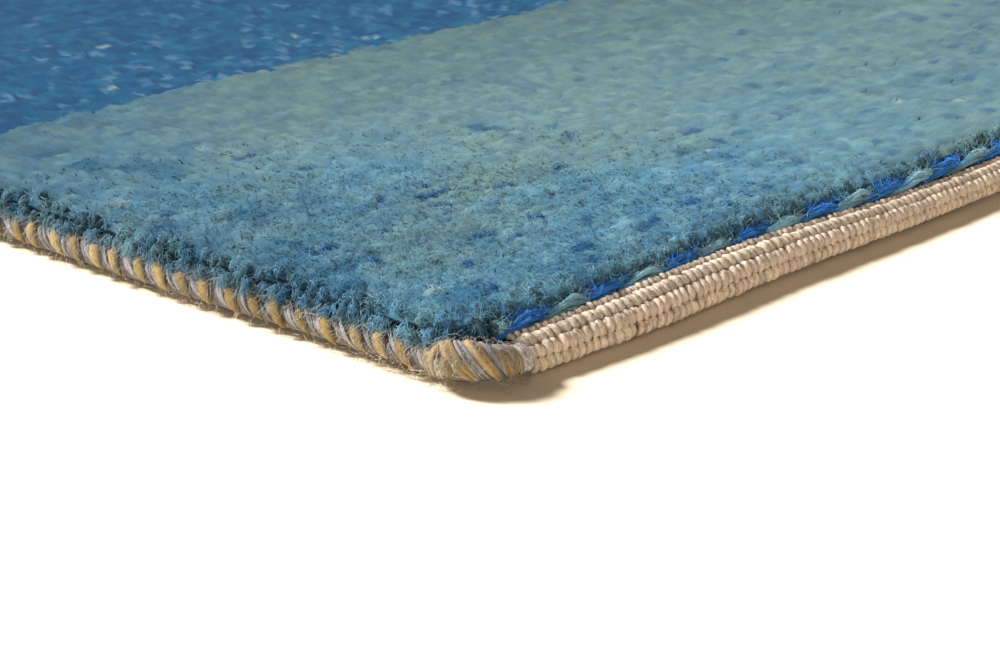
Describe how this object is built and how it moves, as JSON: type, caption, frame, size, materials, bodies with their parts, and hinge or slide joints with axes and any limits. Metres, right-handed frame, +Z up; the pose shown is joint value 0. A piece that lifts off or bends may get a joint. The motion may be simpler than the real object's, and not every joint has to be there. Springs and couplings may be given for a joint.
{
  "type": "gabbeh rug",
  "caption": "Small thick-piled wool rug lying flat, with overcast side cords, wrapped end bands and a twined row along each end.",
  "frame": {"origin": "on the floor, under the middle of the rug", "axes": "+Z up; the rug's length runs along Y and its two ends along X; the pictured corner is at -X, -Y"},
  "size_m": [0.5988, 0.8991, 0.0134],
  "materials": {
    "pile_wool": "cut wool pile, matt",
    "cord_wool": "wrapped wool yarn, matt",
    "band_wool": "undyed wool yarn, matt",
    "twining_wool": "dyed wool yarn, matt"
  },
  "bodies": {
    "root": {"pile_field": "pile_wool", "side_cord_left": "cord_wool", "side_cord_right": "cord_wool", "end_band_front": "band_wool", "end_band_back": "band_wool", "twined_row_front": "twining_wool", "twined_row_back": "twining_wool"}
  },
  "joints": []
}
